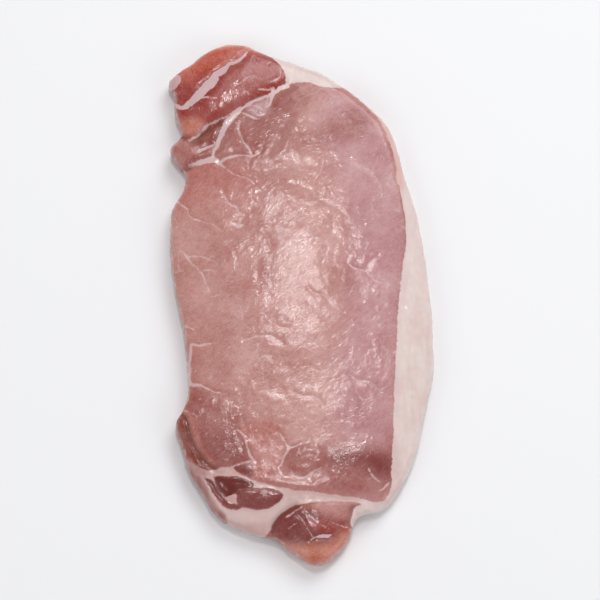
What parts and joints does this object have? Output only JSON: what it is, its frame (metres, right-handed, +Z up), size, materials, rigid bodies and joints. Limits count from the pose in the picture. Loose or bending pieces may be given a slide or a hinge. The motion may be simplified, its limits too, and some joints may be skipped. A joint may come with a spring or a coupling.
{
  "type": "raw pork chop",
  "caption": "Thin boneless raw pork loin chop: a flat slice of marbled lean with a fat cap down one side, a redder upper lobe and a small tail, lying on its cut face.",
  "frame": {"origin": "middle of the underside's bounding box, on the surface the chop lies on", "axes": "+Y along the chop's length, from the tail to the upper lobe; +X across it, towards the fat cap; +Z up through its thickness, out of the upper cut face"},
  "size_m": [0.0713, 0.142, 0.0092],
  "materials": {
    "raw_pork": "moist cut meat, pink lean with pale fat, soft sheen"
  },
  "bodies": {
    "root": {"pork_chop": "raw_pork"}
  },
  "joints": []
}
